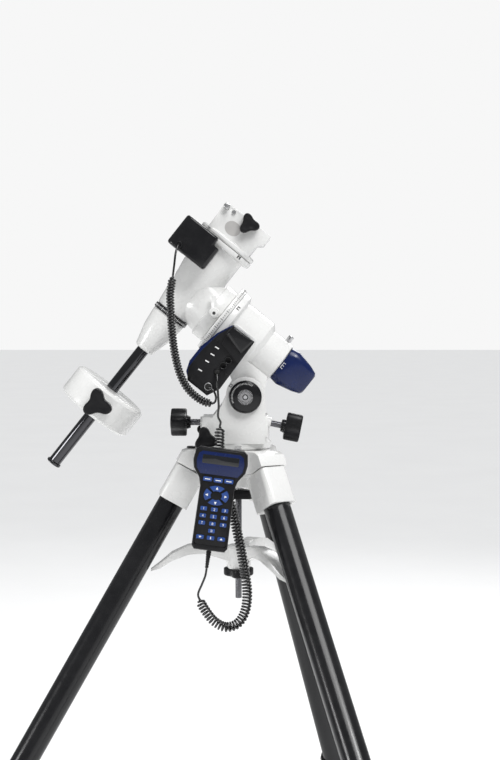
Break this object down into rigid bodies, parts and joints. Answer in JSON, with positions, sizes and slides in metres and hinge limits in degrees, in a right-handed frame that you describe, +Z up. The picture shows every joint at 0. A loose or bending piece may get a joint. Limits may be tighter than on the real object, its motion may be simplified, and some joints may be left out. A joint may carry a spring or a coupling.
{
  "type": "equatorial mount",
  "caption": "German equatorial telescope mount on a folding tripod, with clutch levers, motor drives, sliding counterweight, dovetail saddle and wired handset.",
  "frame": {"origin": "on the floor under the middle of the footprint's bounding box", "axes": "+Z up; the polar axis lies in the XZ plane and rises towards -X; +Y is the side away from the control box"},
  "size_m": [0.8146, 0.8956, 1.145],
  "materials": {
    "white_paint": "gloss white enamel on die-cast aluminium",
    "white_iron": "gloss white enamel on cast iron",
    "black_paint": "gloss black coat",
    "black_plastic": "fine-textured black plastic",
    "blue_plastic": "semi-gloss navy plastic",
    "steel": "turned steel",
    "chrome": "polished chrome",
    "brass": "machined",
    "rubber": "matt rubber",
    "key_rubber": "blue silicone rubber",
    "cable": "satin cable sheath"
  },
  "bodies": {
    "tripod_hub": {"tripod_hub": "white_paint", "bubble_level": "black_plastic", "tie_rod": "steel"},
    "fixing_knob": {"fixing_knob": "black_plastic"},
    "spreader": {"spreader": "white_paint"},
    "spreader_knob": {"spreader_knob": "black_plastic"},
    "azimuth": {"azimuth_base": "white_paint", "altitude_axle": "steel", "altitude_cap": "black_plastic", "handset_bracket": "steel", "handset_case": "black_plastic", "keypad_mat": "key_rubber", "handset_strain_relief": "rubber", "handset_lead_coil": "cable", "handset_lead_tail": "cable"},
    "azimuth_screw_front": {"azimuth_screw_front": "black_plastic"},
    "azimuth_screw_rear": {"azimuth_screw_rear": "black_plastic"},
    "altitude_screw_front": {"altitude_screw_front": "black_plastic"},
    "altitude_screw_rear": {"altitude_screw_rear": "black_plastic"},
    "polar_housing": {"polar_housing": "white_paint", "housing_thumb_screw": "steel", "control_box": "black_plastic", "control_box_back": "blue_plastic", "dec_lead": "cable", "dec_lead_coil": "cable", "handset_lead": "cable"},
    "polar_scope_cover": {"polar_scope_cover": "blue_plastic"},
    "polar_worm": {"polar_worm": "steel"},
    "dec_housing": {"dec_housing": "white_paint", "polar_shaft": "steel", "polar_worm_wheel": "brass", "dec_motor_box": "black_plastic"},
    "polar_setting_circle": {"polar_setting_circle": "white_paint"},
    "polar_lock_lever": {"polar_lock_lever": "white_paint"},
    "dec_lock_lever": {"dec_lock_lever": "white_paint"},
    "dec_worm": {"dec_worm": "steel"},
    "dec_axis": {"saddle": "white_paint", "dec_shaft": "steel", "dec_worm_wheel": "brass", "dec_nose": "white_paint", "counterweight_bar": "chrome"},
    "dec_setting_circle": {"dec_setting_circle": "black_paint"},
    "end_stop": {"end_stop": "chrome"},
    "counterweight": {"counterweight": "white_iron"},
    "counterweight_knob": {"counterweight_knob": "black_plastic"},
    "saddle_jaw": {"saddle_jaw": "steel"},
    "saddle_knob": {"saddle_knob": "black_plastic"},
    "saddle_screw": {"saddle_screw": "steel"},
    "leg_a": {"leg_head_a": "white_paint", "leg_tube_a": "black_paint"},
    "lower_leg_a": {"lower_leg_a": "steel"},
    "leg_lock_a": {"leg_lock_a": "black_plastic"},
    "leg_b": {"leg_head_b": "white_paint", "leg_tube_b": "black_paint"},
    "lower_leg_b": {"lower_leg_b": "steel"},
    "leg_lock_b": {"leg_lock_b": "black_plastic"},
    "leg_c": {"leg_head_c": "white_paint", "leg_tube_c": "black_paint"},
    "lower_leg_c": {"lower_leg_c": "steel"},
    "leg_lock_c": {"leg_lock_c": "black_plastic"}
  },
  "joints": [
    {"name": "fixing_knob_turn", "type": "hinge", "parent": "tripod_hub", "child": "fixing_knob", "pos_m": [0.10604, -0.01883, 0.76], "axis": [0, 0, 1], "continuous": true},
    {"name": "leg_a_fold", "type": "hinge", "parent": "tripod_hub", "child": "leg_a", "pos_m": [0.03817, -0.02405, 0.74116], "axis": [0.0767, -0.9971, 0], "range_deg": [0, 18]},
    {"name": "leg_a_lock_turn", "type": "hinge", "parent": "leg_a", "child": "leg_lock_a", "pos_m": [-0.318, -0.05146, 0.11488], "axis": [-0.8661, -0.0666, 0.4955], "range_deg": [0, 360]},
    {"name": "leg_a_extend", "type": "slide", "parent": "leg_a", "child": "lower_leg_a", "axis": [-0.494, -0.038, -0.8686], "range_m": [0, 0.3]},
    {"name": "leg_b_fold", "type": "hinge", "parent": "tripod_hub", "child": "leg_b", "pos_m": [0.14449, -0.07499, 0.74116], "axis": [0.8251, 0.565, 0], "range_deg": [0, 18]},
    {"name": "leg_b_lock_turn", "type": "hinge", "parent": "leg_b", "child": "leg_lock_b", "pos_m": [0.34631, -0.36974, 0.11488], "axis": [0.4907, -0.7167, 0.4955], "range_deg": [0, 360]},
    {"name": "leg_b_extend", "type": "slide", "parent": "leg_b", "child": "lower_leg_b", "axis": [0.2799, -0.4088, -0.8686], "range_m": [0, 0.3]},
    {"name": "leg_c_fold", "type": "hinge", "parent": "tripod_hub", "child": "leg_c", "pos_m": [0.13545, 0.04256, 0.74116], "axis": [-0.9018, 0.4321, 0], "range_deg": [0, 18]},
    {"name": "leg_c_lock_turn", "type": "hinge", "parent": "leg_c", "child": "leg_lock_c", "pos_m": [0.2898, 0.36471, 0.11488], "axis": [0.3753, 0.7834, 0.4955], "range_deg": [0, 360]},
    {"name": "leg_c_extend", "type": "slide", "parent": "leg_c", "child": "lower_leg_c", "axis": [0.2141, 0.4468, -0.8686], "range_m": [0, 0.3]},
    {"name": "spreader_drop", "type": "slide", "parent": "tripod_hub", "child": "spreader", "axis": [0, 0, -1], "range_m": [0, 0.345]},
    {"name": "spreader_knob_turn", "type": "hinge", "parent": "spreader", "child": "spreader_knob", "pos_m": [0.10604, -0.01883, 0.76], "axis": [0, 0, 1], "continuous": true},
    {"name": "azimuth", "type": "hinge", "parent": "tripod_hub", "child": "azimuth", "pos_m": [0.10604, -0.01883, 0.76], "axis": [0, 0, 1], "range_deg": [-8, 8]},
    {"name": "azimuth_screw_front_travel", "type": "slide", "parent": "azimuth", "child": "azimuth_screw_front", "axis": [0, 1, 0], "range_m": [-0.0071, 0.0071]},
    {"name": "azimuth_screw_rear_travel", "type": "slide", "parent": "azimuth", "child": "azimuth_screw_rear", "axis": [0, 1, 0], "range_m": [-0.0071, 0.0071]},
    {"name": "altitude", "type": "hinge", "parent": "azimuth", "child": "polar_housing", "pos_m": [0.11704, -0.01883, 0.843], "axis": [0, 1, 0], "range_deg": [-10, 10], "deforming": ["handset_lead"]},
    {"name": "altitude_screw_front_travel", "type": "slide", "parent": "azimuth", "child": "altitude_screw_front", "axis": [-1, 0, 0], "range_m": [-0.0095, 0.0095]},
    {"name": "altitude_screw_rear_travel", "type": "slide", "parent": "azimuth", "child": "altitude_screw_rear", "axis": [0.9781, 0, -0.2079], "range_m": [-0.0095, 0.0095]},
    {"name": "polar_scope_cover_pull", "type": "slide", "parent": "polar_housing", "child": "polar_scope_cover", "axis": [0.7826, 0, -0.6225], "range_m": [0, 0.08]},
    {"name": "right_ascension", "type": "hinge", "parent": "polar_housing", "child": "dec_housing", "pos_m": [0.16123, -0.01883, 0.89856], "axis": [-0.7826, 0, 0.6225], "continuous": true, "deforming": ["dec_lead", "dec_lead_coil"]},
    {"name": "polar_worm_turn", "type": "hinge", "parent": "polar_housing", "child": "polar_worm", "pos_m": [0.1068, -0.06233, 0.92973], "axis": [0.6225, 0, 0.7826], "continuous": true},
    {"name": "polar_circle_turn", "type": "hinge", "parent": "dec_housing", "child": "polar_setting_circle", "pos_m": [0.16123, -0.01883, 0.89856], "axis": [-0.7826, 0, 0.6225], "continuous": true},
    {"name": "polar_lever_swing", "type": "hinge", "parent": "dec_housing", "child": "polar_lock_lever", "pos_m": [0.06889, -0.01883, 0.97202], "axis": [0, -1, 0], "range_deg": [-30, 30]},
    {"name": "dec_lever_swing", "type": "hinge", "parent": "dec_housing", "child": "dec_lock_lever", "pos_m": [0.06974, -0.01883, 1.05823], "axis": [0, 1, 0], "range_deg": [-30, 30]},
    {"name": "declination", "type": "hinge", "parent": "dec_housing", "child": "dec_axis", "pos_m": [0.02741, -0.01883, 1.00501], "axis": [0.6225, 0, 0.7826], "continuous": true},
    {"name": "dec_worm_turn", "type": "hinge", "parent": "dec_housing", "child": "dec_worm", "pos_m": [0.03541, -0.01883, 1.07532], "axis": [0, -1, 0], "continuous": true},
    {"name": "dec_circle_turn", "type": "hinge", "parent": "dec_axis", "child": "dec_setting_circle", "pos_m": [0.02741, -0.01883, 1.00501], "axis": [0.6225, 0, 0.7826], "continuous": true},
    {"name": "end_stop_turn", "type": "hinge", "parent": "dec_axis", "child": "end_stop", "pos_m": [0.02741, -0.01883, 1.00501], "axis": [0.6225, 0, 0.7826], "continuous": true},
    {"name": "counterweight_travel", "type": "slide", "parent": "dec_axis", "child": "counterweight", "axis": [0.6225, 0, 0.7826], "range_m": [-0.09, 0.075]},
    {"name": "counterweight_knob_turn", "type": "hinge", "parent": "counterweight", "child": "counterweight_knob", "pos_m": [-0.10892, -0.01883, 0.83362], "axis": [0, -1, 0], "range_deg": [-180, 180]},
    {"name": "saddle_knob_turn", "type": "hinge", "parent": "dec_axis", "child": "saddle_knob", "pos_m": [0.1227, -0.01883, 1.10875], "axis": [0, -1, 0], "range_deg": [0, 720]},
    {"name": "saddle_jaw_travel", "type": "slide", "parent": "dec_axis", "child": "saddle_jaw", "axis": [0, 1, 0], "range_m": [0, 0.0033]},
    {"name": "saddle_screw_turn", "type": "hinge", "parent": "dec_axis", "child": "saddle_screw", "pos_m": [0.08858, -0.01883, 1.13653], "axis": [0, -1, 0], "range_deg": [-180, 180]}
  ],
  "couplings": [
    {"joint": "leg_b_fold", "follows": "leg_a_fold", "ratio": 1},
    {"joint": "leg_c_fold", "follows": "leg_a_fold", "ratio": 1},
    {"joint": "spreader_drop", "follows": "leg_a_fold", "m_per_rad": 1.082},
    {"joint": "azimuth_screw_front_travel", "follows": "azimuth", "m_per_rad": 0.05},
    {"joint": "azimuth_screw_rear_travel", "follows": "azimuth", "m_per_rad": 0.05},
    {"joint": "altitude_screw_front_travel", "follows": "altitude", "m_per_rad": 0.044},
    {"joint": "altitude_screw_rear_travel", "follows": "altitude", "m_per_rad": -0.037},
    {"joint": "polar_worm_turn", "follows": "right_ascension", "ratio": 20},
    {"joint": "dec_worm_turn", "follows": "declination", "ratio": 16}
  ]
}
